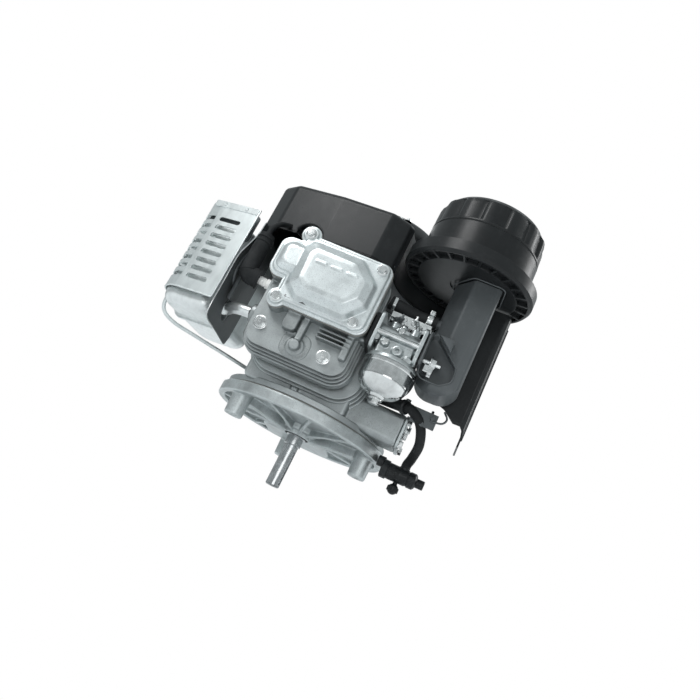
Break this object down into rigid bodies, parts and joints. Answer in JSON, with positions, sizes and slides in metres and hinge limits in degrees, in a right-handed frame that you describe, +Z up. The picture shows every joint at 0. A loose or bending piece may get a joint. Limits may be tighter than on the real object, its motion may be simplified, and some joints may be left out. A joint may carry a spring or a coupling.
{
  "type": "small vertical-shaft petrol engine",
  "caption": "Air-cooled single-cylinder vertical-shaft engine with muffler and guard, carburettor, round air filter, blower housing and three-boss mounting flange.",
  "frame": {"origin": "on the crankshaft axis, in the plane of the end faces of the three mounting bosses", "axes": "+Z up along the crankshaft towards the flywheel, -Y towards the cylinder head, +X towards the carburettor"},
  "size_m": [0.4639, 0.3286, 0.4226],
  "materials": {
    "cast_aluminium": "satin, sand cast",
    "machined_steel": "machined",
    "zinc_plate": "bright zinc plate",
    "dark_steel": "satin dark",
    "cast_iron": "as cast",
    "bright_steel": "bright pressed sheet",
    "black_plastic": "satin",
    "grey_plastic": "satin",
    "black_rubber": "matte",
    "gasket_paper": "matte",
    "brass": "bright",
    "ceramic": "glazed",
    "filter_paper": "matte"
  },
  "bodies": {
    "engine_block": {"sump_flange": "cast_aluminium", "crankcase": "cast_aluminium", "side_chest_cover": "cast_aluminium", "cylinder_head": "cast_aluminium", "rocker_cover": "cast_aluminium", "carburetor_body": "cast_aluminium", "upper_bearing": "machined_steel", "head_bolt_1": "machined_steel", "head_bolt_2": "machined_steel", "inlet_valve_spring": "machined_steel", "exhaust_valve_spring": "machined_steel", "bowl_bolt": "machined_steel", "rocker_cover_bolt_1": "zinc_plate", "rocker_cover_bolt_2": "zinc_plate", "rocker_cover_bolt_3": "zinc_plate", "rocker_cover_bolt_4": "zinc_plate", "muffler_guard": "zinc_plate", "ignition_coil": "dark_steel", "side_plate": "dark_steel", "muffler_bracket": "dark_steel", "muffler_shell": "bright_steel", "float_bowl": "bright_steel", "blower_housing": "black_plastic", "recoil_cover": "black_plastic", "carburetor_insulator": "black_plastic", "filter_base": "black_plastic", "side_cover": "black_plastic", "hose_spigot": "black_plastic", "oil_fitting": "black_plastic", "air_duct": "grey_plastic", "lower_oil_seal": "black_rubber", "spark_plug_boot": "black_rubber", "breather_hose": "black_rubber", "oil_hose": "black_rubber", "head_gasket": "gasket_paper", "spark_plug": "ceramic", "filter_element": "filter_paper"},
    "crank": {"crankshaft": "machined_steel", "flywheel": "cast_iron", "starter_cup": "dark_steel", "flywheel_nut": "machined_steel"},
    "web_plug": {"web_plug": "machined_steel"},
    "piston": {"piston": "cast_aluminium", "wrist_pin": "machined_steel"},
    "connecting_rod": {"connecting_rod": "cast_aluminium"},
    "camshaft": {"camshaft": "cast_iron"},
    "inlet_pushrod": {"inlet_pushrod": "machined_steel"},
    "inlet_rocker": {"inlet_rocker": "cast_iron"},
    "inlet_valve": {"inlet_valve": "machined_steel"},
    "exhaust_pushrod": {"exhaust_pushrod": "machined_steel"},
    "exhaust_rocker": {"exhaust_rocker": "cast_iron"},
    "exhaust_valve": {"exhaust_valve": "machined_steel"},
    "throttle_lever": {"throttle_lever": "dark_steel"},
    "governor_arm": {"governor_arm": "zinc_plate"},
    "choke_lever": {"choke_lever": "zinc_plate"},
    "float": {"float": "brass"},
    "recoil_reel": {"recoil_reel": "dark_steel"},
    "filter_cap": {"filter_cap": "black_plastic"},
    "cap_knob": {"cap_knob": "black_plastic"},
    "drain_knob": {"drain_knob": "black_plastic"}
  },
  "joints": [
    {"name": "crank_spin", "type": "hinge", "parent": "engine_block", "child": "crank", "pos_m": [0, 0, 0], "axis": [0, 0, 1], "continuous": true},
    {"name": "web_plug_spin", "type": "hinge", "parent": "crank", "child": "web_plug", "pos_m": [0, -0.01125, 0.166], "axis": [0, 0, 1], "continuous": true},
    {"name": "piston_stroke", "type": "hinge", "parent": "web_plug", "child": "piston", "pos_m": [0, -0.0225, 0.154], "axis": [0, 0, 1], "continuous": true},
    {"name": "rod_big_end", "type": "hinge", "parent": "crank", "child": "connecting_rod", "pos_m": [0, -0.0225, 0.154], "axis": [0, 0, 1], "continuous": true},
    {"name": "cam_spin", "type": "hinge", "parent": "engine_block", "child": "camshaft", "pos_m": [-0.05, 0.006, 0], "axis": [0, 0, 1], "continuous": true},
    {"name": "inlet_pushrod_lift", "type": "slide", "parent": "engine_block", "child": "inlet_pushrod", "axis": [0, -1, 0], "range_m": [0, 0.005]},
    {"name": "inlet_rocker_rock", "type": "hinge", "parent": "engine_block", "child": "inlet_rocker", "pos_m": [-0.03, -0.1715, 0.167], "axis": [0, 0, 1], "range_deg": [0, 14.5]},
    {"name": "inlet_valve_lift", "type": "slide", "parent": "engine_block", "child": "inlet_valve", "axis": [0, 1, 0], "range_m": [0, 0.0056], "deforming": ["inlet_valve_spring"]},
    {"name": "exhaust_pushrod_lift", "type": "slide", "parent": "engine_block", "child": "exhaust_pushrod", "axis": [0, -1, 0], "range_m": [0, 0.005]},
    {"name": "exhaust_rocker_rock", "type": "hinge", "parent": "engine_block", "child": "exhaust_rocker", "pos_m": [-0.03, -0.1715, 0.141], "axis": [0, 0, 1], "range_deg": [0, 14.5]},
    {"name": "exhaust_valve_lift", "type": "slide", "parent": "engine_block", "child": "exhaust_valve", "axis": [0, 1, 0], "range_m": [0, 0.0056], "deforming": ["exhaust_valve_spring"]},
    {"name": "throttle_turn", "type": "hinge", "parent": "engine_block", "child": "throttle_lever", "pos_m": [0.0763, -0.141, 0.176], "axis": [0, 0, 1], "range_deg": [0, 75]},
    {"name": "governor_turn", "type": "hinge", "parent": "engine_block", "child": "governor_arm", "pos_m": [0.122, -0.06, 0.0988], "axis": [0, 0, 1], "range_deg": [0, 30]},
    {"name": "choke_turn", "type": "hinge", "parent": "engine_block", "child": "choke_lever", "pos_m": [0.1023, -0.141, 0.176], "axis": [0, 0, 1], "range_deg": [0, 75]},
    {"name": "float_rise", "type": "hinge", "parent": "engine_block", "child": "float", "pos_m": [0.0723, -0.141, 0.119], "axis": [0, -1, 0], "range_deg": [0, 8]},
    {"name": "recoil_pull", "type": "hinge", "parent": "engine_block", "child": "recoil_reel", "pos_m": [0, 0, 0.316], "axis": [0, 0, 1], "range_deg": [0, 1440]},
    {"name": "cap_lift", "type": "slide", "parent": "engine_block", "child": "filter_cap", "axis": [0, 0, 1], "range_m": [0, 0.09]},
    {"name": "cap_knob_turn", "type": "hinge", "parent": "filter_cap", "child": "cap_knob", "pos_m": [0.133, -0.115, 0.3586], "axis": [0, 0, 1], "range_deg": [0, 720]},
    {"name": "drain_turn", "type": "hinge", "parent": "engine_block", "child": "drain_knob", "pos_m": [0.148, -0.042, 0.0132], "axis": [0, 0, 1], "range_deg": [0, 90]}
  ],
  "couplings": [
    {"joint": "web_plug_spin", "follows": "crank_spin", "ratio": -2},
    {"joint": "piston_stroke", "follows": "crank_spin", "ratio": 1},
    {"joint": "rod_big_end", "follows": "crank_spin", "ratio": -1},
    {"joint": "cam_spin", "follows": "crank_spin", "ratio": -0.5},
    {"joint": "inlet_rocker_rock", "follows": "inlet_pushrod_lift", "rad_per_m": 50.004},
    {"joint": "inlet_valve_lift", "follows": "inlet_pushrod_lift", "ratio": 1.1},
    {"joint": "exhaust_rocker_rock", "follows": "exhaust_pushrod_lift", "rad_per_m": 50.004},
    {"joint": "exhaust_valve_lift", "follows": "exhaust_pushrod_lift", "ratio": 1.1},
    {"joint": "governor_turn", "follows": "throttle_turn", "ratio": 0.4}
  ]
}
